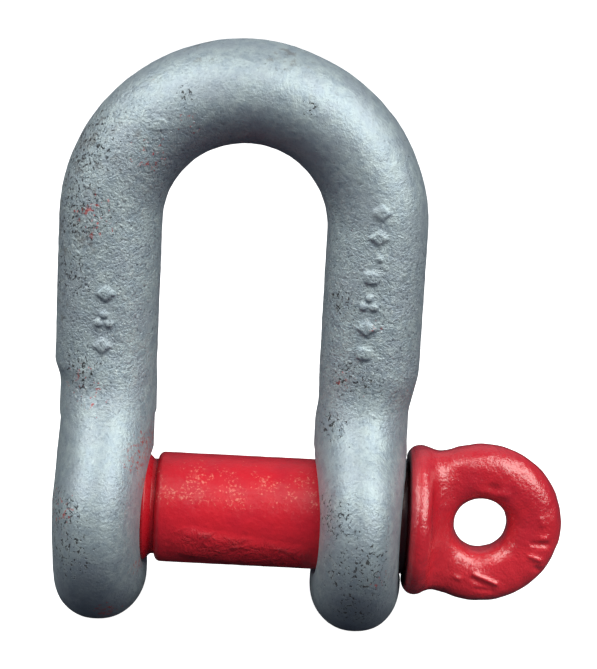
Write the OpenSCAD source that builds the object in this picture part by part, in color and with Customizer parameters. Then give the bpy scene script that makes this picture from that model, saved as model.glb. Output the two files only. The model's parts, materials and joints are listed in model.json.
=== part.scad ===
// Screw-pin dee shackle: a forged body and a forged screw pin with a collar and an eye.
// The origin is on the pin's axis, midway between the ears. X runs along the pin towards the eye
// and Z runs up to the crown.

/* [Body] */
// Diameter of the bar in the crown and the legs
bar_d = 29; // [27:0.2:30]
// Clear width between the legs and between the ears
jaw_w = 46; // [42:0.5:52]
// Clear length from the top of the pin to the inside of the crown
inside_l = 91; // [84:0.5:104]
// Outside diameter of an ear, seen along the pin
ear_d = 66; // [62:0.5:70]
// Thickness of the tapped ear
tapped_ear_w = 28.4; // [26.6:0.1:28.8]
// Thickness of the plain ear
plain_ear_w = 26.8; // [26.6:0.1:28.4]
// Diameter of the bar at the neck, just above each ear
neck_d = 26.4; // [25:0.2:26.4]
// Height of each neck above the pin's axis
neck_z = 36; // [35:0.5:38]
// Length over which each neck swells to the full bar
shoulder_h = 8.5; // [7:0.5:12]

/* [Screw pin] */
// Diameter of the plain shank
pin_d = 31.8; // [31:0.1:32.2]
// Diameter of the clearance hole in the plain ear
plain_hole_d = 33.6; // [33.6:0.1:34.4]
// Length of the bare pin end between the tapped ear and the shank
shank_gap = 1.4; // [1.2:0.1:2]
// Radius of the rounded corner at the shank's threaded end
shank_round = 2; // [1:0.25:2.4]

/* [Thread] */
// Crest diameter of the thread
thread_d = 31; // [30:0.1:31.4]
// Distance from one crest to the next
thread_pitch = 3.63; // [3:0.01:4]
// Width of the floor of the groove between the shank and the thread
relief_w = 1.1; // [0.6:0.1:2]
// Depth of that groove, whose far wall is a 45 degree bevel
relief_depth = 1.8; // [1:0.1:2.2]
// Diametral play between the crests and the tapped hole
thread_play = 0.3; // [0.2:0.05:0.6]
// Depth of the pin's end below the outer face of the tapped ear
end_recess = 3.4; // [0:0.1:4]

/* [Collar and eye] */
// Diameter of the collar
collar_d = 43.2; // [41:0.2:46]
// Thickness of the collar's rounded rim
collar_w = 6.8; // [5.5:0.1:7]
// Clearance between the seated collar and the plain ear
collar_gap = 0.3; // [0.2:0.05:0.6]
// Outside diameter of the eye
eye_d = 47; // [44:0.5:50]
// Diameter of the hole through the eye
eye_hole_d = 15.1; // [14.6:0.1:16]
// Thickness of the eye across its forged flats
eye_w = 14.8; // [14:0.1:15.4]
// Distance from the plain ear to the centre of the eye
eye_reach = 22; // [21.4:0.2:24]

/* [Hidden] */

// Facets: smooth curves stay exact at any of these, and the blended ears use ear_facets.
$fn = 96;
ear_facets = 48;
rim_facets = 28;

jaw_half = jaw_w / 2;
bar_r = bar_d / 2;
neck_r = neck_d / 2;
ear_r = ear_d / 2;
pin_r = pin_d / 2;
crown_r = jaw_half + bar_r;
spring_z = pin_r + inside_l - jaw_half;
shoulder_z = neck_z + shoulder_h;

// Blended pieces run this far past the plane where they meet, and sit this much inside the bar.
overlap = 1;
inset = 0.05;
slice = 0.01;

// Places along the pin.
tapped_face = -jaw_half - tapped_ear_w;
plain_face = jaw_half + plain_ear_w;
shank_start = -jaw_half + shank_gap;
thread_end = tapped_face + end_recess;
collar_face = plain_face + collar_gap;
eye_x = plain_face + eye_reach;

// The thread: a 60 degree form with flat crests and roots, drawn as rings.
thread_r = thread_d / 2;
thread_depth = 0.6134 * thread_pitch;
root_r = thread_r - thread_depth;
crest_w = thread_pitch / 8;
root_w = thread_pitch / 4;
flank_w = (thread_pitch - crest_w - root_w) / 2;
relief_r = thread_r - relief_depth;
relief_end = shank_start - relief_w;
first_crest = relief_end - relief_depth;
end_chamfer = 1.2;
crest_count = floor((first_crest - thread_end - end_chamfer) / thread_pitch);

// The collar's rim and the eye's ring.
rim_r = collar_w / 2;
rim_centre_r = collar_d / 2 - rim_r;
dome_r = collar_d / 2 - 0.4;
dome_h = eye_reach - collar_gap - rim_r - eye_hole_d / 2 - 0.6;
dome_steps = 9;
ring_r = 8.2;
ring_centre_r = eye_d / 2 - ring_r;

// Stands a solid of revolution, or anything drawn about Z, on the pin's axis at x.
module on_pin(x) {
    translate([x, 0, 0]) rotate([0, 90, 0]) children();
}

// Half a ring of round bar.
module crown() {
    translate([0, 0, spring_z])
        rotate([90, 0, 0])
        rotate_extrude(angle = 180)
        translate([crown_r, 0])
        circle(r = bar_r);
}

// A thin round slice of bar of radius r at height z, against the jaw on the given side.
module bar_slice(side, r, z) {
    translate([side * (jaw_half + r), 0, z])
        cylinder(r = r, h = slice, $fn = ear_facets);
}

// The straight bar from the shoulder up to the crown.
module leg(side) {
    translate([side * crown_r, 0, shoulder_z])
        cylinder(r = bar_r, h = spring_z - shoulder_z);
}

// The short swelling from the neck up to the full bar.
module shoulder(side) {
    hull() {
        bar_slice(side, neck_r - inset, neck_z - overlap);
        bar_slice(side, neck_r, neck_z);
        translate([side * inset, 0, 0])
            bar_slice(side, bar_r - inset, shoulder_z - inset);
        translate([side * inset, 0, 0])
            bar_slice(side, bar_r - inset, shoulder_z + overlap);
    }
}

// A round ear with a full-round rim, blended up into the neck.
module ear(side, w) {
    hull() {
        on_pin(side * (jaw_half + w / 2))
            rotate_extrude($fn = ear_facets)
            intersection() {
                translate([ear_r - w / 2, 0]) circle(r = w / 2, $fn = rim_facets);
                translate([0, -w / 2]) square([ear_r, w]);
            }
        bar_slice(side, neck_r, neck_z);
    }
}

module shackle_body() {
    color([0.62, 0.66, 0.69])
    difference() {
        union() {
            crown();
            for (side = [-1, 1]) {
                leg(side);
                shoulder(side);
            }
            ear(-1, tapped_ear_w);
            ear(1, plain_ear_w);
        }
        on_pin(tapped_face - overlap)
            cylinder(d = thread_d + thread_play, h = tapped_ear_w + 2 * overlap);
        on_pin(jaw_half - overlap)
            cylinder(d = plain_hole_d, h = plain_ear_w + 2 * overlap);
    }
}

// The outline of the threaded end, from the relief beside the shank out to the pin's end.
// Its points are [radius, distance along the pin].
thread_outline = concat(
    [[0, shank_start], [relief_r, shank_start], [relief_r, relief_end]],
    [for (i = [0:crest_count - 1]) each [
        [thread_r, first_crest - i * thread_pitch],
        [thread_r, first_crest - i * thread_pitch - crest_w],
        [root_r, first_crest - i * thread_pitch - crest_w - flank_w],
        [root_r, first_crest - i * thread_pitch - crest_w - flank_w - root_w]
    ]],
    [
        [thread_r, first_crest - crest_count * thread_pitch],
        [thread_r, thread_end + end_chamfer],
        [thread_r - end_chamfer, thread_end],
        [0, thread_end]
    ]
);

module pin_thread() {
    color([0.36, 0.33, 0.33])
    on_pin(0) rotate_extrude() polygon(thread_outline);
}

// The plain shank, with a rounded corner at its threaded end.
module shank() {
    on_pin(shank_start + shank_round)
        cylinder(r = pin_r, h = collar_face + overlap - shank_start - shank_round);
    on_pin(shank_start)
        rotate_extrude()
        difference() {
            square([pin_r, shank_round]);
            difference() {
                translate([pin_r - shank_round, 0]) square(shank_round);
                translate([pin_r - shank_round, shank_round]) circle(r = shank_round);
            }
        }
}

// The outline of the dome that runs from the collar into the eye, a quarter of an ellipse.
dome_outline = concat(
    [[0, 0]],
    [for (i = [0:dome_steps]) let (a = 90 * i / dome_steps) [dome_r * cos(a), dome_h * sin(a)]]
);

// The collar: a flat against the plain ear, a full-round rim and a dome running into the eye.
module collar() {
    on_pin(collar_face) cylinder(r = rim_centre_r, h = collar_w);
    on_pin(collar_face + rim_r)
        rotate_extrude()
        translate([rim_centre_r, 0])
        circle(r = rim_r);
    on_pin(collar_face + rim_r) rotate_extrude() polygon(dome_outline);
}

// The eye: a ring of round section with forged flats, cut off where the collar covers it.
module eye() {
    intersection() {
        translate([eye_x, 0, 0])
            rotate([90, 0, 0])
            rotate_extrude()
            translate([ring_centre_r, 0])
            circle(r = ring_r);
        translate([collar_face + overlap, -eye_w / 2, -eye_d])
            cube([2 * eye_d, eye_w, 2 * eye_d]);
    }
}

module screw_pin() {
    color([0.78, 0.11, 0.16])
    difference() {
        union() {
            shank();
            collar();
            eye();
        }
        translate([eye_x, 0, 0])
            rotate([90, 0, 0])
            cylinder(d = eye_hole_d, h = eye_d, center = true);
    }
}

shackle_body();
pin_thread();
screw_pin();
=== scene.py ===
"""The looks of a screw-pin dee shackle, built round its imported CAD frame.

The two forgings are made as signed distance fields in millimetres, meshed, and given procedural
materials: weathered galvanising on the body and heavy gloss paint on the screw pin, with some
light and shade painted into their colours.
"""

import json
import math
from collections import namedtuple

import bpy
import numpy as np
from mathutils import Matrix, Vector, noise


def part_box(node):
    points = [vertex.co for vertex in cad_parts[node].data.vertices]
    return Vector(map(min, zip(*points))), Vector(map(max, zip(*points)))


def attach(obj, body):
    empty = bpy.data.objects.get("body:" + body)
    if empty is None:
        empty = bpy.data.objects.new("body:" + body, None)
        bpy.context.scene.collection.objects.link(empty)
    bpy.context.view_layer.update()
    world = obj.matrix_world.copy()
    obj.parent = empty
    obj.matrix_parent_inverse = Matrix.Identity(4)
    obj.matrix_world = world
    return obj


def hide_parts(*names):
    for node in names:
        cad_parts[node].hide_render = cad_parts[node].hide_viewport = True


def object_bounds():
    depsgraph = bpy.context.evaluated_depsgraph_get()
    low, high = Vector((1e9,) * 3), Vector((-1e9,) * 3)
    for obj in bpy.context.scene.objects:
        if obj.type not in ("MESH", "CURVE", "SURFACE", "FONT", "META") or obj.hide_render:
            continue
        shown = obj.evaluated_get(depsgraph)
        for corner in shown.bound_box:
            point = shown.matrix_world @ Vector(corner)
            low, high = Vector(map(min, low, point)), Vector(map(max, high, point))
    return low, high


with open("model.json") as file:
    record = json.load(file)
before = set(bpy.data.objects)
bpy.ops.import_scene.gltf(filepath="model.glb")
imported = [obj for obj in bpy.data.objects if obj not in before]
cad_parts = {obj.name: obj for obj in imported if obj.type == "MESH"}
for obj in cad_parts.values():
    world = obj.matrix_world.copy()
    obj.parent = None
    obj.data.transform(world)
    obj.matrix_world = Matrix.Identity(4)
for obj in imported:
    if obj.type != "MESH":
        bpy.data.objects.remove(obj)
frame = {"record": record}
CAD_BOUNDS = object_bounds()
MM = 0.001


# ---------------------------------------------------------------- sizes, in millimetres


def box_mm(node):
    """The lowest and highest corners of a CAD node, in millimetres."""
    low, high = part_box(node)
    return low / MM, high / MM


MOUNTS = {mount["name"]: mount for mount in frame["record"]["mounts"]}
BODY_LOW, BODY_HIGH = box_mm("shackle_body")
THREAD_LOW, THREAD_HIGH = box_mm("pin_thread")
PIN_LOW, PIN_HIGH = box_mm("screw_pin")
COUPLING = frame["record"]["behaviour"]["couplings"][0]

# The body: a round bar bent to a half ring, two legs and two ears.
CROWN_INSIDE_Z = MOUNTS["crown_bearing"]["pos_m"][2] / MM
BAR_R = (BODY_HIGH.z - CROWN_INSIDE_Z) / 2
JAW_HALF = BODY_HIGH.x - 2 * BAR_R
SPRING_Z = CROWN_INSIDE_Z - JAW_HALF
EAR_R = -BODY_LOW.z
PLAIN_EAR_W = 26.8
PLAIN_HOLE_R = 16.8

# Each leg as it was forged: which side, bar and neck radii, where the neck starts and ends, and how
# far the ear's inner and outer faces are from the middle of the jaw at some heights.
Leg = namedtuple("Leg", "side bar_r neck_r neck_z shoulder_z ear_z ear_in ear_out")
# How far each neck stands back from the jaw, and how far each leg runs down into its ear.
NECK_SETBACK = 0.3
LEG_SINK = 6
EAR_IN = (23.6, 23.4, 23.3, 22.9, 23.0)
LEFT_OUT = (50.7, 51.7, 51.8, 50.4, 49.6)
RIGHT_OUT = (50.0, 50.0, 49.9, 49.8, 48.7)
LEGS = [
    Leg(-1, BAR_R - 0.1, 13.15, 35.5, 43.5, (-20, -4, 6, 18, 28), EAR_IN, LEFT_OUT),
    Leg(1, BAR_R - 0.4, 12.7, 27.5, 46.0, (-20, -4, 6, 16, 24), EAR_IN, RIGHT_OUT),
]
# The ears thin towards their front and back, at this slope from this distance on.
DRAFT = 0.13
DRAFT_START = 4.0
# How much squarer than round an ear's section is at the pin, and how fine it is drawn at its top.
EAR_SQUARENESS = 0.25
EAR_TIP_R = 0.3
# The fillet between an ear and its leg, at the sides and how much more at the front.
SIDE_FILLET = 2.2
FRONT_FILLET = 6.0
# The parting line's height and half width.
FLASH_HEIGHT = 0.12
FLASH_HALF_W = 0.9
# The tapped hole: its clearance round the thread's crests, and its countersunk mouth.
THREAD_PLAY = 0.15
MOUTH_DEPTH = 1.1
MOUTH_START = 2.6
MOUTH_END = 0.4
HOLE_EDGE = 1.6

# The screw pin: shank, collar and eye.
SHANK_R = MOUNTS["pin_shank"]["dims"]["r_mm"]
SHANK_START = PIN_LOW.x
SHANK_ROUND = 2.0
COLLAR_R = PIN_HIGH.y
COLLAR_FACE = JAW_HALF + PLAIN_EAR_W + 0.3
COLLAR_RIM_R = 3.3
EYE_X = MOUNTS["eye_hole"]["pos_m"][0] / MM
EYE_HOLE_R = MOUNTS["eye_hole"]["dims"]["r_mm"]
EYE_R = PIN_HIGH.x - EYE_X
EYE_HALF_W = 7.4
EYE_SECTION_R = 8.05
# The neck between the collar and the eye: its half sizes along Z, Y and X.
NECK_Z = 15.4
NECK_Y = 13.2
NECK_X = 8.0
NECK_FILLET = 4.0
EYE_FILLET = 6.5
SHANK_FILLET = 0.6
FLAT_EDGE = 2.0
EYE_HOLE_EDGE = 0.8
# How far one piece's field runs into the next, where they join.
OVERLAP = 1
# The eye's hole is a little narrower along X and taller along Z than round.
HOLE_X_SQUEEZE = 1.03
HOLE_Z_SQUEEZE = 0.965

# The thread: right-handed, one pitch to each turn of the pin, after a groove beside the shank.
PITCH = COUPLING["ratio"] * 2 * math.pi / MM
THREAD_R = THREAD_HIGH.y
THREAD_DEPTH = 0.6134 * PITCH
THREAD_END = THREAD_LOW.x
GROOVE_W = 1.1
GROOVE_DEPTH = 1.8
END_CHAMFER = 1.2
TURN_SIDES = 144
STEPS_PER_PITCH = 20

BODY_CELL = 0.6
PIN_CELL = 0.5
COARSER = 1
MARGIN = Vector((2, 2, 2))
MOST_LIFT = 0.1
SKIN = 0.03


# ---------------------------------------------------------------- distance fields


def smooth_step(low, high, value):
    t = np.clip((value - low) / (high - low), 0, 1)
    return t * t * (3 - 2 * t)


def union(a, b, blend):
    """The union of two fields, with a fillet about as wide as blend."""
    h = np.maximum(blend - np.abs(a - b), 0) / blend
    return np.minimum(a, b) - h * h * blend / 4


def cut(a, b, blend):
    """Field a less field b, with a rounded edge about as wide as blend."""
    return -union(-a, b, blend)


def tapered_capsule(u, v, r_low, r_high, height):
    """The outline of two circles, at v = 0 and v = height, and their common tangents."""
    slope = (r_low - r_high) / height
    run = math.sqrt(1 - slope * slope)
    u = np.abs(u)
    along = -slope * u + run * v
    side = run * u + slope * v - r_low
    lower = np.hypot(u, v) - r_low
    upper = np.hypot(u, v - height) - r_high
    return np.where(along < 0, lower, np.where(along > run * height, upper, side))


def bar(x, y, z):
    """The round bar: half ring and legs, narrowing to a neck above each ear."""
    across = smooth_step(0, JAW_HALF, x)
    ring_r = LEGS[0].bar_r + (LEGS[1].bar_r - LEGS[0].bar_r) * across
    ring = np.hypot(np.hypot(x, z - SPRING_Z) - JAW_HALF - ring_r, y) - ring_r
    d = np.where(z > SPRING_Z, ring, np.inf)
    for leg in LEGS:
        swell = smooth_step(leg.neck_z, leg.shoulder_z, z)
        radius = leg.neck_r + (leg.bar_r - leg.neck_r) * swell
        inner = JAW_HALF + NECK_SETBACK * (1 - swell)
        straight = np.hypot(leg.side * x - inner - radius, y) - radius
        straight = np.maximum(straight, leg.neck_z - LEG_SINK - z)
        d = np.minimum(d, np.where(z > SPRING_Z, np.inf, straight))
    return d


def ear(x, y, z, leg):
    """One ear: a full-round disc drawn up into the neck, with draft towards its front and back."""
    near, far = np.interp(z, leg.ear_z, leg.ear_in), np.interp(z, leg.ear_z, leg.ear_out)
    half, low_half = (far - near) / 2, (leg.ear_out[0] - leg.ear_in[0]) / 2
    centre = (far + near) / 2
    draft = DRAFT * (np.hypot(y, DRAFT_START) - DRAFT_START)
    across = np.abs(leg.side * x - centre) * half / (half - draft)
    core = tapered_capsule(y, z, EAR_R - low_half, EAR_TIP_R, leg.neck_z)
    core = core + np.maximum(half - low_half, 0)
    power = 2 + EAR_SQUARENESS * smooth_step(leg.neck_z, 0, z)
    return (np.maximum(core, 0) ** power + across**power) ** (1 / power) - half


def lozenge(u, v):
    """A solid lozenge."""
    return (np.abs(u) / 2.7 + np.abs(v) / 2.3 - 1) * 1.7


def pellet(u, v):
    """A solid square with round corners."""
    return np.hypot(np.maximum(np.abs(u) - 1.0, 0), np.maximum(np.abs(v) - 0.8, 0)) - 0.9


def trefoil(u, v):
    """Three round dots in a triangle."""
    low = np.hypot(np.abs(u) - 1.5, v + 1.0)
    return np.minimum(low, np.hypot(u, v - 1.5)) - 1.05


def dot(u, v):
    """A small round dot."""
    return np.hypot(u, v) - 0.8


# Generic raised forging marks up the front of each leg, and one on the crown, in millimetres:
# (outline, x, z, height).
MARK_EDGE = 0.4
MARKS = [
    (lozenge, -37.6, 50.6, 0.7),
    (trefoil, -37.4, 58.0, 0.7),
    (lozenge, -37.1, 65.4, 0.7),
    (pellet, 34.6, 52.0, 0.7),
    (lozenge, 34.9, 59.2, 0.7),
    (trefoil, 35.2, 66.4, 0.7),
    (pellet, 35.5, 73.6, 0.7),
    (dot, 37.6, 79.0, 0.6),
    (lozenge, 37.0, 84.8, 0.5),
    (lozenge, 37.4, 91.8, 0.5),
    (pellet, -24.2, 113.0, 0.25),
]


def body_field(x, y, z):
    """The whole shackle body."""
    d = bar(x, y, z)
    for leg in LEGS:
        to_front = y**2 / (y**2 + (leg.side * x - JAW_HALF - leg.neck_r) ** 2 + 1)
        d = union(d, ear(x, y, z, leg), SIDE_FILLET + FRONT_FILLET * to_front)
    front = smooth_step(2, -2, y)
    raised = 0
    for outline, mark_x, mark_z, height in MARKS:
        edge = smooth_step(MARK_EDGE, -MARK_EDGE, outline(x - mark_x, z - mark_z))
        raised = raised + height * edge
    flash = np.exp(-((y / FLASH_HALF_W) ** 2)) * smooth_step(EAR_R, LEGS[0].shoulder_z, z)
    d = d - raised * front - FLASH_HEIGHT * flash
    mouth = smooth_step(-JAW_HALF - MOUTH_START, -JAW_HALF - MOUTH_END, x)
    hole_r = np.where(x < 0, THREAD_R + THREAD_PLAY + MOUTH_DEPTH * mouth, PLAIN_HOLE_R)
    return cut(d, np.hypot(y, z) - hole_r, HOLE_EDGE)


def stroke(x, z, start, end, half_width):
    """How strongly a point lies on a stroke from start to end, from 0 to 1."""
    run_x, run_z = end[0] - start[0], end[1] - start[1]
    length = run_x**2 + run_z**2
    share = np.clip(((x - start[0]) * run_x + (z - start[1]) * run_z) / length, 0, 1)
    off_x, off_z = x - start[0] - share * run_x, z - start[1] - share * run_z
    return np.exp(-(off_x**2 + off_z**2) / half_width**2)


# Forging dents and lumps on the front of the eye, in x and z from its centre:
# (start, end, half width, height).
EYE_MARKS = [
    ((14.8, -3.3), (19.0, -3.6), 0.7, -0.45),
    ((17.6, -1.7), (18.8, -1.6), 0.9, 0.4),
    ((14.6, -7.2), (17.4, -8.3), 0.7, 0.5),
    ((16.4, -10.8), (17.2, -11.4), 0.8, -0.5),
    ((16.4, 4.3), (17.2, 2.6), 0.8, 0.35),
    ((-0.4, 11.3), (0.6, 11.3), 1.5, 0.5),
    ((4.9, 10.9), (5.8, 10.6), 1.6, 0.5),
    ((2.4, 12.6), (3.2, 12.4), 1.2, -0.4),
    ((-1.0, -13.4), (5.4, -16.0), 0.7, 0.6),
    ((-1.6, -14.8), (4.0, -17.4), 0.7, -0.4),
    ((-0.6, -18.0), (4.4, -18.4), 0.6, -0.35),
    ((-6.4, -14.6), (-5.2, -15.0), 0.6, 0.4),
]


def pin_field(x, y, z):
    """The shank, collar, neck and eye of the screw pin."""
    rho = np.hypot(y, z)
    middle = (SHANK_START + COLLAR_FACE) / 2
    half = (COLLAR_FACE - SHANK_START) / 2 + OVERLAP
    out = np.maximum(rho - SHANK_R + SHANK_ROUND, 0)
    end = np.maximum(np.abs(x - middle - OVERLAP) - half + SHANK_ROUND, 0)
    core = np.maximum(rho - SHANK_R, np.abs(x - middle - OVERLAP) - half)
    shank = np.where(out + end > 0, np.hypot(out, end) - SHANK_ROUND, core)

    rim_x = COLLAR_FACE + COLLAR_RIM_R
    flat = np.maximum(rho - COLLAR_R + COLLAR_RIM_R, 0)
    collar = np.hypot(flat, x - rim_x) - COLLAR_RIM_R

    squash = np.sqrt((z / NECK_Z) ** 2 + (y / NECK_Y) ** 2 + ((x - rim_x) / NECK_X) ** 2)
    neck = (squash - 1) * NECK_X

    from_axis = np.hypot(x - EYE_X, z)
    ring = np.hypot(from_axis - EYE_R + EYE_SECTION_R, y) - EYE_SECTION_R
    ring = cut(ring, EYE_HALF_W - np.abs(y), FLAT_EDGE)
    ring = np.maximum(ring, COLLAR_FACE + OVERLAP - x)
    facing = smooth_step(0, -3, y)
    for start, end, half_width, height in EYE_MARKS:
        ring = ring - height * stroke(x - EYE_X, z, start, end, half_width) * facing

    d = union(collar, neck, NECK_FILLET)
    d = union(d, ring, EYE_FILLET)
    d = np.maximum(d, COLLAR_FACE - x)
    d = union(d, shank, SHANK_FILLET)
    hole = np.hypot(HOLE_X_SQUEEZE * (x - EYE_X), HOLE_Z_SQUEEZE * z) - EYE_HOLE_R
    return cut(d, hole, EYE_HOLE_EDGE)


# ---------------------------------------------------------------- meshing


def net(field, low, high, cell):
    """Vertices and quads of the surface where field is 0, by surface nets."""
    axes = [np.arange(low[i], high[i] + cell, cell) for i in range(3)]
    x, y, z = np.meshgrid(*axes, indexing="ij", sparse=True)
    values = field(x, y, z).astype(np.float32)
    inside = values < 0
    steps = np.array([(i, j, k) for i in (0, 1) for j in (0, 1) for k in (0, 1)])
    size = [n - 1 for n in values.shape]
    count = sum(
        inside[i : i + size[0], j : j + size[1], k : k + size[2]].astype(np.int8)
        for i, j, k in steps
    )
    cells = np.argwhere((count > 0) & (count < 8))
    at = cells[:, None, :] + steps[None]
    corner = values[at[..., 0], at[..., 1], at[..., 2]]
    total = np.zeros((len(cells), 3))
    crossings = np.zeros((len(cells), 1))
    for a in range(8):
        for b in range(a + 1, 8):
            if np.abs(steps[a] - steps[b]).sum() != 1:
                continue
            fa, fb = corner[:, a], corner[:, b]
            crosses = (fa < 0) != (fb < 0)
            t = np.where(crosses, fa / np.where(crosses, fa - fb, 1), 0)
            place = steps[a] + t[:, None] * (steps[b] - steps[a])
            total += place * crosses[:, None]
            crossings += crosses[:, None]
    points = (cells + total / crossings) * cell + np.array([a[0] for a in axes])
    index = np.full(size, -1)
    index[tuple(cells.T)] = np.arange(len(cells))
    quads = []
    for axis in range(3):
        one, two = (axis + 1) % 3, (axis + 2) % 3
        low_side = np.take(inside, range(size[axis]), axis)
        high_side = np.take(inside, range(1, size[axis] + 1), axis)
        for sign, crosses in ((1, low_side & ~high_side), (-1, high_side & ~low_side)):
            edge = np.argwhere(crosses)
            ring = []
            for step_one, step_two in ((1, 1), (0, 1), (0, 0), (1, 0)):
                cell_at = edge.copy()
                cell_at[:, one] -= step_one
                cell_at[:, two] -= step_two
                ring.append(index[tuple(cell_at.T)])
            quads.append(np.stack(ring[::sign], 1))
    return points, np.concatenate(quads)


def slope_of(field, points, step=0.02):
    """The field's value and gradient at points."""
    x, y, z = points.T
    value = field(x, y, z)
    gradient = np.stack(
        [
            field(x + step, y, z) - field(x - step, y, z),
            field(x, y + step, z) - field(x, y - step, z),
            field(x, y, z + step) - field(x, y, z - step),
        ],
        1,
    )
    return value, gradient / (2 * step)


def settle(field, points, rounds=3):
    """Moves points onto the field's surface, and gives them and their normals."""
    for _ in range(rounds):
        value, gradient = slope_of(field, points)
        size = np.maximum((gradient**2).sum(1), 0.2)
        move = gradient * (value / size)[:, None]
        points = points - np.clip(move, -0.3, 0.3)
    _, gradient = slope_of(field, points)
    length = np.linalg.norm(gradient, axis=1, keepdims=True)
    return points, gradient / np.maximum(length, 1e-6)


def lumps(points, grain):
    """Smooth noise at each point, about grain millimetres across."""
    return np.array([noise.fractal(Vector(p) / grain, 1.0, 2.0, 2) for p in points])


def mesh_object(name, points, faces, body, replaced):
    """A smooth mesh, from points in millimetres, that rides on a body in place of a CAD node."""
    mesh = bpy.data.meshes.new(name)
    mesh.from_pydata((points * MM).tolist(), [], faces)
    mesh.validate()
    mesh.shade_smooth()
    made = bpy.data.objects.new(name, mesh)
    bpy.context.scene.collection.objects.link(made)
    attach(made, body)
    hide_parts(replaced)
    return made


def make_body():
    """The galvanised forging, with a gently uneven, orange-peel surface."""
    points, quads = net(body_field, BODY_LOW - MARGIN, BODY_HIGH + MARGIN, BODY_CELL * COARSER)
    points, normals = settle(body_field, points)
    rough = 0.2 + 0.8 * smooth_step(30, 44, points[:, 2])
    lift = 0.10 * lumps(points, 11.0) + 0.07 * rough * lumps(points, 2.6)
    off_hole = smooth_step(0.5, 2.5, np.hypot(points[:, 1], points[:, 2]) - PLAIN_HOLE_R)
    points = points + normals * (np.minimum(lift, MOST_LIFT) * off_hole - MOST_LIFT)[:, None]
    return mesh_object(
        "shackle_forging", points, quads.tolist(), "shackle", "shackle_body"
    )


def make_pin():
    """The red forging, rougher on the collar and the eye than on the shank."""
    points, quads = net(pin_field, PIN_LOW - MARGIN, PIN_HIGH + MARGIN, PIN_CELL * COARSER)
    points, normals = settle(pin_field, points)
    on_shank = smooth_step(COLLAR_FACE, COLLAR_FACE - 2, points[:, 0])
    lift = 0.16 * (1 - on_shank) * lumps(points, 6.0) + 0.05 * lumps(points, 3.0)
    points = points + normals * (np.minimum(lift, MOST_LIFT) - MOST_LIFT)[:, None]
    return mesh_object("screw_pin_forging", points, quads.tolist(), "pin", "screw_pin")


def thread_profile(share):
    """A 60 degree thread's depth below its crest, from 0 to 1, for a share of the pitch."""
    crest, root = 1 / 8, 1 / 4
    flank = (1 - crest - root) / 2
    from_crest = np.abs((share + 0.5) % 1 - 0.5)
    return np.clip((from_crest - crest / 2) / flank, 0, 1)


def thread_radius(x, turn):
    """The threaded end's radius at x, on the line that is turn of a turn round from the top."""
    first = SHANK_START - GROOVE_W - GROOVE_DEPTH
    depth = THREAD_DEPTH * thread_profile((x - first) / PITCH - turn)
    r = THREAD_R - depth * smooth_step(first - 0.6, first - 1.6, x)
    bevel = THREAD_R - np.clip(x - first, 0, GROOVE_DEPTH)
    chamfer = THREAD_R - END_CHAMFER + (x - THREAD_END)
    return np.minimum(np.minimum(r, bevel), chamfer) - SKIN


def make_thread():
    """The pin's threaded end: a true helix with a chamfered end."""
    x = np.arange(THREAD_END, SHANK_START + 0.3, PITCH / STEPS_PER_PITCH)
    turns = np.arange(TURN_SIDES) / TURN_SIDES
    r = np.stack([thread_radius(x, turn) for turn in turns])
    angle = 2 * math.pi * turns[:, None]
    points = np.stack([np.broadcast_to(x, r.shape), r * np.cos(angle), r * np.sin(angle)], 2)
    index = np.arange(r.size).reshape(r.shape)
    after = np.roll(index, -1, 0)
    sides = np.stack([index[:, :-1], index[:, 1:], after[:, 1:], after[:, :-1]], 2).reshape(-1, 4)
    faces = sides.tolist() + [index[:, 0].tolist(), index[::-1, -1].tolist()]
    return mesh_object(
        "pin_end_thread", points.reshape(-1, 3), faces, "pin", "pin_thread"
    )


# ---------------------------------------------------------------- materials


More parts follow.
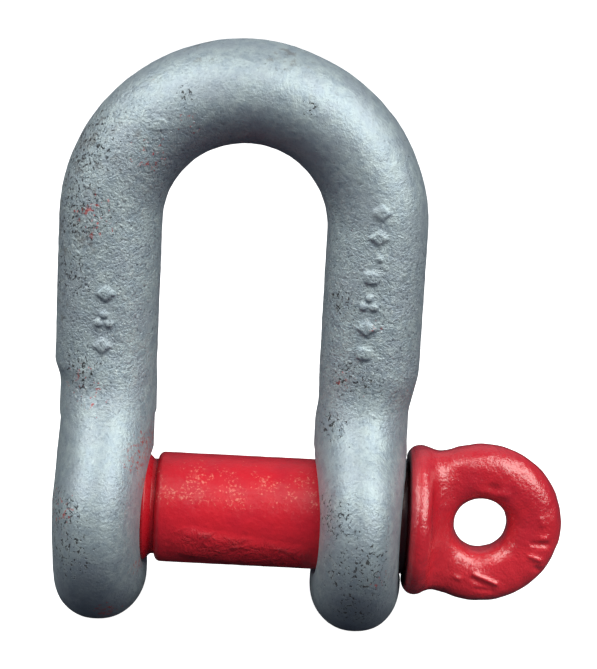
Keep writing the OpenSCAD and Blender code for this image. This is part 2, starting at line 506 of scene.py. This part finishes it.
class Nodes:
    """Shorthand for building one material's node tree."""

    def __init__(self, name):
        self.material = bpy.data.materials.new(name)
        self.material.use_nodes = True
        self.tree = self.material.node_tree
        self.shader = self.tree.nodes["Principled BSDF"]
        self.place = self.tree.nodes.new("ShaderNodeTexCoord").outputs["Object"]

    def link(self, source, target):
        self.tree.links.new(source, target)

    def value(self, socket, given):
        """Links given to socket if it is an output, or else sets it."""
        if isinstance(given, bpy.types.NodeSocket):
            self.link(given, socket)
        else:
            socket.default_value = given

    def noise(self, grain_mm, detail, rough, distortion=0.0):
        node = self.tree.nodes.new("ShaderNodeTexNoise")
        self.link(self.place, node.inputs["Vector"])
        node.inputs["Scale"].default_value = 1 / (grain_mm * MM)
        node.inputs["Detail"].default_value = detail
        node.inputs["Roughness"].default_value = rough
        node.inputs["Distortion"].default_value = distortion
        return node.outputs["Fac"]

    def ramp(self, source, low, high, smooth=True):
        """0 below low and 1 above high, or the other way round if low is the larger."""
        node = self.tree.nodes.new("ShaderNodeMapRange")
        node.interpolation_type = "SMOOTHSTEP" if smooth else "LINEAR"
        self.link(source, node.inputs["Value"])
        flip = low > high
        node.inputs["From Min"].default_value = min(low, high)
        node.inputs["From Max"].default_value = max(low, high)
        node.inputs["To Min"].default_value = 1.0 if flip else 0.0
        node.inputs["To Max"].default_value = 0.0 if flip else 1.0
        return node.outputs["Result"]

    def math(self, operation, a, b=0.0, clamp=False):
        node = self.tree.nodes.new("ShaderNodeMath")
        node.operation = operation
        node.use_clamp = clamp
        self.value(node.inputs[0], a)
        self.value(node.inputs[1], b)
        return node.outputs[0]

    def plus(self, a, b, clamp=False):
        return self.math("ADD", a, b, clamp)

    def minus(self, a, b, clamp=False):
        return self.math("SUBTRACT", a, b, clamp)

    def times(self, a, b):
        return self.math("MULTIPLY", a, b)

    def axis(self, name):
        """One coordinate of the point, in millimetres."""
        node = self.tree.nodes.new("ShaderNodeSeparateXYZ")
        self.link(self.place, node.inputs[0])
        return self.times(node.outputs[name], 1 / MM)

    def facing_up(self):
        """How far the surface faces up, from -1 to 1."""
        around = self.tree.nodes.new("ShaderNodeTexCoord")
        node = self.tree.nodes.new("ShaderNodeSeparateXYZ")
        self.link(around.outputs["Normal"], node.inputs[0])
        return node.outputs["Z"]

    def zones(self, places):
        """1 inside any of the places (x, z, radius) in millimetres, and 0 well outside them."""
        flat = self.tree.nodes.new("ShaderNodeVectorMath")
        flat.operation = "MULTIPLY"
        self.link(self.place, flat.inputs[0])
        flat.inputs[1].default_value = (1, 0, 1)
        most = 0.0
        for x, z, radius in places:
            away = self.tree.nodes.new("ShaderNodeVectorMath")
            away.operation = "DISTANCE"
            self.link(flat.outputs[0], away.inputs[0])
            away.inputs[1].default_value = (x * MM, 0, z * MM)
            share = self.ramp(away.outputs["Value"], 1.3 * radius * MM, 0.4 * radius * MM)
            most = self.math("MAXIMUM", share, most)
        return most

    def mix(self, share, a, b):
        """Colour a where share is 0 and b where it is 1."""
        node = self.tree.nodes.new("ShaderNodeMix")
        node.data_type = "RGBA"
        self.value(node.inputs["Factor"], share)
        self.value(node.inputs["A"], a)
        self.value(node.inputs["B"], b)
        return node.outputs["Result"]

    def bump(self, height, distance_mm, strength, below=None):
        node = self.tree.nodes.new("ShaderNodeBump")
        node.inputs["Strength"].default_value = strength
        node.inputs["Distance"].default_value = distance_mm * MM
        self.link(height, node.inputs["Height"])
        if below is not None:
            self.link(below, node.inputs["Normal"])
        return node.outputs["Normal"]


def rgb(red, green, blue):
    """A display colour from 0 to 255 as the linear colour that shaders take."""
    shares = [c / 255 for c in (red, green, blue)]
    linear = [((c + 0.055) / 1.055) ** 2.4 if c > 0.04 else c / 12.92 for c in shares]
    return (*linear, 1.0)


# Where the zinc is marked, as places (x, z, radius) in millimetres seen from the front.
PITTED = [(-46, 106, 13), (-47, 88, 14), (-48, 70, 10), (-47, 4, 11), (-44, -6, 9)]
PITTED += [(-17, 121, 3), (16, 119, 3), (28, 66, 6), (29, 8, 8), (36, -6, 12), (36, -18, 8)]
PITTED += [(-43, 43, 7), (32, 44, 8), (27, 30, 5)]
STAINED = [(-44, 106, 13), (-48, 85, 13), (-26, 110, 7), (-50, 60, 8), (-14, 134, 6), (10, 134, 7)]
RED_SPECKED = [(-42, 38, 8), (-41, 86, 8), (-26, 105, 7), (-16, 114, 5), (-47, 6, 7), (-34, -25, 6)]
RED_SPECKED += [(-24, 25, 5), (30, 44, 4), (38, 60, 3), (42, -8, 4), (50, 40, 4), (-20, -31, 3)]
OVERSPRAYED = [(-25, 21, 7), (-24, 12, 3), (-24, -12, 4), (22, 8, 3), (50, 14, 3)]
OVERSPRAYED += [(-33.5, -24.5, 4)]


def galvanised():
    """Hot-dip zinc: wrinkled on the legs, smoother on the crown and ears, pitted and flecked, with
    painted shade on the faces that look down.
    """
    n = Nodes("galvanised")
    x, z = n.axis("X"), n.axis("Z")
    coarse = n.noise(9.0, 3.0, 0.55)
    mottle = n.noise(2.6, 3.0, 0.55, 0.3)
    wrinkle = n.noise(1.5, 3.0, 0.6, 0.7)
    grain = n.noise(0.75, 3.0, 0.65)
    above_ears = n.ramp(n.plus(z, n.times(coarse, 20.0)), 34.0, 60.0)
    uphill = n.plus(z, n.times(x, 0.45))
    on_top = n.ramp(n.plus(uphill, n.times(coarse, 16.0)), 98.0, 130.0)
    rough = n.plus(0.38, n.times(above_ears, 0.62))
    rough = n.times(rough, n.minus(1.0, n.times(on_top, 0.7)))

    colour = n.mix(n.ramp(mottle, 0.3, 0.7), rgb(160, 177, 188), rgb(182, 198, 203))
    colour = n.mix(n.times(n.ramp(coarse, 0.42, 0.68), 0.5), colour, rgb(162, 174, 186))
    fleck = n.times(n.ramp(grain, 0.56, 0.70), n.times(rough, 0.6))
    colour = n.mix(fleck, colour, rgb(222, 232, 231))
    dull = n.times(n.ramp(grain, 0.44, 0.30), n.times(rough, 0.9))
    colour = n.mix(dull, colour, rgb(88, 96, 108))

    stain = n.plus(n.noise(3.6, 5.0, 0.65), n.times(n.zones(STAINED), 0.14))
    colour = n.mix(n.times(n.ramp(stain, 0.64, 0.78), 0.5), colour, rgb(104, 98, 96))
    # Painted shade: faces that look down are darkened towards a cool blue-grey, more the further
    # they turn down.
    under = n.times(n.ramp(n.facing_up(), 0.0, -0.55), 0.55)
    colour = n.mix(under, colour, rgb(80, 84, 106))

    pitting = n.noise(1.0, 4.0, 0.62, 0.4)
    pit = n.ramp(n.plus(pitting, n.times(n.zones(PITTED), 0.14)), 0.69, 0.75)
    colour = n.mix(n.times(pit, 0.85), colour, rgb(50, 46, 46))

    specks = n.noise(1.4, 3.0, 0.6)
    speck = n.ramp(n.plus(specks, n.times(n.zones(RED_SPECKED), 0.15)), 0.73, 0.80)
    colour = n.mix(n.times(speck, 0.7), colour, rgb(196, 66, 58))
    drift = n.zones(OVERSPRAYED)
    spray = n.ramp(n.plus(n.noise(1.0, 4.0, 0.7), n.times(drift, 0.17)), 0.66, 0.80)
    spray = n.times(n.times(spray, drift), 0.8)
    colour = n.mix(spray, colour, rgb(190, 70, 58))
    n.link(colour, n.shader.inputs["Base Color"])

    n.shader.inputs["Metallic"].default_value = 0.55
    roughness = n.plus(0.40, n.times(mottle, 0.2))
    n.link(n.plus(roughness, n.times(pit, 0.2), True), n.shader.inputs["Roughness"])

    folds = n.times(wrinkle, n.plus(n.times(rough, 0.85), 0.12))
    sand = n.times(grain, n.plus(n.times(rough, 0.85), 0.15))
    normal = n.bump(folds, 0.34, 0.9)
    normal = n.bump(sand, 0.42, 0.9, normal)
    normal = n.bump(n.minus(1.0, pit), 0.3, 0.8, normal)
    n.link(normal, n.shader.inputs["Normal"])
    return n.material


def red_paint():
    """Heavy gloss paint over a forging, with painted highlight flecks and painted sheen along the
    shank's top, a painted-light brighter lower side, painted shade in the gap by the collar, and
    scuffs below.
    """
    n = Nodes("red_gloss_paint")
    x, z = n.axis("X"), n.axis("Z")
    coarse = n.noise(8.0, 3.0, 0.5)
    fine = n.noise(1.3, 3.0, 0.6)
    speckle = n.noise(0.75, 3.0, 0.65)
    on_eye = n.ramp(x, 49.0, 54.0)
    colour = n.mix(n.ramp(coarse, 0.35, 0.7), rgb(210, 33, 48), rgb(200, 31, 49))
    # Painted light: the pin is painted a brighter red towards its lower side, from z = 6 mm down
    # and fully below -12 mm.
    painted_low_light = n.times(n.ramp(z, 6.0, -12.0), 0.6)
    colour = n.mix(painted_low_light, colour, rgb(240, 50, 64))

    # Painted highlights: pale pink flecks and sheen patches are painted round the upper part of the
    # shank, where light catches its top, but not on the eye.
    along = n.ramp(n.math("ABSOLUTE", n.minus(z, 10.0)), 7.5, 2.5)
    patchy = n.ramp(n.noise(6.0, 3.0, 0.6), 0.38, 0.60)
    highlight_band = n.times(n.times(along, patchy), n.minus(1.0, on_eye))
    fleck = n.ramp(n.plus(speckle, n.times(highlight_band, 0.165)), 0.67, 0.84)
    colour = n.mix(n.times(fleck, 0.65), colour, rgb(238, 146, 128))
    painted_sheen = n.times(n.ramp(n.noise(4.0, 4.0, 0.6), 0.54, 0.70), highlight_band)
    colour = n.mix(n.times(painted_sheen, 0.16), colour, rgb(232, 130, 122))

    scuff = n.noise(4.2, 5.0, 0.62, 1.2)
    slant = n.plus(z, n.times(x, 0.14))
    low = n.times(n.ramp(slant, -1.0, -5.0), n.ramp(slant, -14.0, -11.0))
    low = n.times(low, n.times(n.ramp(x, -18.0, -10.0), n.ramp(x, 24.0, 19.0)))
    dark = n.times(n.times(n.ramp(scuff, 0.52, 0.64), low), 0.45)
    colour = n.mix(dark, colour, rgb(118, 16, 32))
    # Painted shade: a near-black ring is painted round the shank where it lies in the shadowed gap
    # between the ear's outer face and the collar.
    gap_shade = n.times(n.ramp(x, 46.5, 48.0), n.ramp(x, 51.0, 50.3))
    colour = n.mix(n.times(gap_shade, 0.92), colour, rgb(30, 12, 16))
    n.link(colour, n.shader.inputs["Base Color"])

    n.shader.inputs["Roughness"].default_value = 0.34
    n.shader.inputs["Specular IOR Level"].default_value = 0.35
    n.link(n.plus(n.times(on_eye, 0.88), 0.12), n.shader.inputs["Coat Weight"])
    n.shader.inputs["Coat IOR"].default_value = 1.8
    n.shader.inputs["Coat Roughness"].default_value = 0.1
    normal = n.bump(n.noise(3.2, 3.0, 0.5), 0.5, 0.6)
    pocks = n.times(speckle, n.plus(n.times(on_eye, 0.7), 0.3))
    normal = n.bump(pocks, 0.3, 0.8, normal)
    normal = n.bump(fine, 0.12, 0.6, normal)
    normal = n.bump(n.times(scuff, low), 2.0, 0.9, normal)
    n.link(normal, n.shader.inputs["Normal"])
    n.link(n.bump(n.noise(1.4, 3.0, 0.6), 0.45, 0.8), n.shader.inputs["Coat Normal"])
    return n.material


def thread_steel():
    """A cut thread: dark steel, with red paint run in over its first turns."""
    n = Nodes("cut_thread_steel")
    x = n.axis("X")
    wear = n.noise(1.2, 4.0, 0.6)
    steel = n.mix(n.ramp(wear, 0.35, 0.65), rgb(96, 92, 90), rgb(142, 138, 134))
    edge = n.plus(x, n.times(n.noise(5.0, 3.0, 0.6), 5.0))
    painted = n.ramp(edge, -28.0, -26.5)
    colour = n.mix(painted, steel, rgb(198, 26, 40))
    n.link(colour, n.shader.inputs["Base Color"])
    n.link(n.minus(0.9, painted, True), n.shader.inputs["Metallic"])
    n.link(n.ramp(wear, 0.0, 1.6, False), n.shader.inputs["Roughness"])
    n.link(n.bump(n.noise(0.7, 3.0, 0.6), 0.08, 0.6), n.shader.inputs["Normal"])
    return n.material


# ---------------------------------------------------------------- stage, lights and camera

# The camera: where it looks, from where, and how it leans.
TARGET = Vector((16.6, 0.0, 53.1)) * MM
DISTANCE = 0.6188
PITCH_DEG = 14.35
YAW_DEG = -0.7
ROLL_DEG = 3.13
LENS_MM = 117.9

WARM = (1.0, 0.985, 0.93)
COOL = (0.92, 0.96, 1.0)

# The floor's half size and how far it lies below the object, in metres.
FLOOR_HALF = 4.0
FLOOR_GAP = 0.0002


def make_camera():
    data = bpy.data.cameras.new("camera")
    data.lens = LENS_MM
    made = bpy.data.objects.new("camera", data)
    bpy.context.scene.collection.objects.link(made)
    pitch, yaw = math.radians(PITCH_DEG), math.radians(YAW_DEG)
    across = math.cos(pitch)
    back = Vector((math.sin(yaw) * across, -math.cos(yaw) * across, math.sin(pitch)))
    made.location = TARGET + back * DISTANCE
    level = (-back).to_track_quat("-Z", "Y").to_matrix().to_4x4()
    lean = Matrix.Rotation(math.radians(ROLL_DEG), 4, "Z")
    made.matrix_world = Matrix.Translation(made.location) @ level @ lean
    data.clip_start = 0.01
    bpy.context.scene.camera = made


def softbox(name, azimuth, elevation, distance, size, power, colour):
    """A rectangular light aimed at the jaw. Azimuth 0 is the camera's side and 90 is the eye's."""
    data = bpy.data.lights.new(name, "AREA")
    data.shape = "RECTANGLE"
    data.size, data.size_y = size
    data.energy = power
    data.color = colour
    made = bpy.data.objects.new(name, data)
    bpy.context.scene.collection.objects.link(made)
    az, el = math.radians(azimuth), math.radians(elevation)
    way = Vector((math.sin(az) * math.cos(el), -math.cos(az) * math.cos(el), math.sin(el)))
    made.location = TARGET + way * distance
    made.rotation_mode = "QUATERNION"
    made.rotation_quaternion = (-way).to_track_quat("-Z", "Y")


def make_lights():
    """Two warm softboxes over the camera's shoulders, and a weak cool one from behind."""
    softbox("left_box", -56, 40, 1.1, (0.85, 1.0), 10.5, WARM)
    softbox("right_box", 50, 37, 1.1, (1.15, 1.1), 14.5, WARM)
    softbox("back_fill", 180, 50, 1.3, (1.4, 0.9), 1.2, COOL)


def by_camera_ray(tree, seen, unseen):
    """Shows one shader output to the camera and another to everything else."""
    ray = tree.nodes.new("ShaderNodeLightPath")
    mixer = tree.nodes.new("ShaderNodeMixShader")
    tree.links.new(ray.outputs["Is Camera Ray"], mixer.inputs[0])
    tree.links.new(unseen, mixer.inputs[1])
    tree.links.new(seen, mixer.inputs[2])
    return mixer.outputs[0]


def make_world():
    """White to the eye, and a dim cool room to the metal."""
    world = bpy.data.worlds.new("studio")
    bpy.context.scene.world = world
    world.use_nodes = True
    tree = world.node_tree
    tree.nodes.clear()
    white = tree.nodes.new("ShaderNodeBackground")
    white.inputs["Color"].default_value = (1, 1, 1, 1)
    room = tree.nodes.new("ShaderNodeBackground")
    room.inputs["Color"].default_value = (0.64, 0.69, 0.90, 1)
    room.inputs["Strength"].default_value = 0.10
    out = tree.nodes.new("ShaderNodeOutputWorld")
    shown = by_camera_ray(tree, white.outputs[0], room.outputs[0])
    tree.links.new(shown, out.inputs["Surface"])


def make_floor():
    """A plain floor under the ears, pale to the camera and dark to the metal."""
    level = CAD_BOUNDS[0].z - FLOOR_GAP
    mesh = bpy.data.meshes.new("floor")
    signs = ((-1, -1), (1, -1), (1, 1), (-1, 1))
    corners = [(x * FLOOR_HALF, y * FLOOR_HALF, level) for x, y in signs]
    mesh.from_pydata(corners, [], [(0, 1, 2, 3)])
    floor = bpy.data.objects.new("floor", mesh)
    bpy.context.scene.collection.objects.link(floor)
    material = bpy.data.materials.new("floor")
    material.use_nodes = True
    tree = material.node_tree
    tree.nodes.clear()
    pale = tree.nodes.new("ShaderNodeBsdfDiffuse")
    pale.inputs["Color"].default_value = (0.95, 0.95, 0.95, 1)
    glow = tree.nodes.new("ShaderNodeEmission")
    glow.inputs["Strength"].default_value = 0.95
    both = tree.nodes.new("ShaderNodeAddShader")
    tree.links.new(pale.outputs[0], both.inputs[0])
    tree.links.new(glow.outputs[0], both.inputs[1])
    dim = tree.nodes.new("ShaderNodeBsdfDiffuse")
    dim.inputs["Color"].default_value = (0.05, 0.057, 0.075, 1)
    out = tree.nodes.new("ShaderNodeOutputMaterial")
    shown = by_camera_ray(tree, both.outputs[0], dim.outputs[0])
    tree.links.new(shown, out.inputs["Surface"])
    mesh.materials.append(material)


bpy.context.scene.view_settings.view_transform = "Standard"
make_camera()
make_world()
make_lights()
make_floor()

body = make_body()
body.data.materials.append(galvanised())
pin = make_pin()
pin.data.materials.append(red_paint())
thread = make_thread()
thread.data.materials.append(thread_steel())
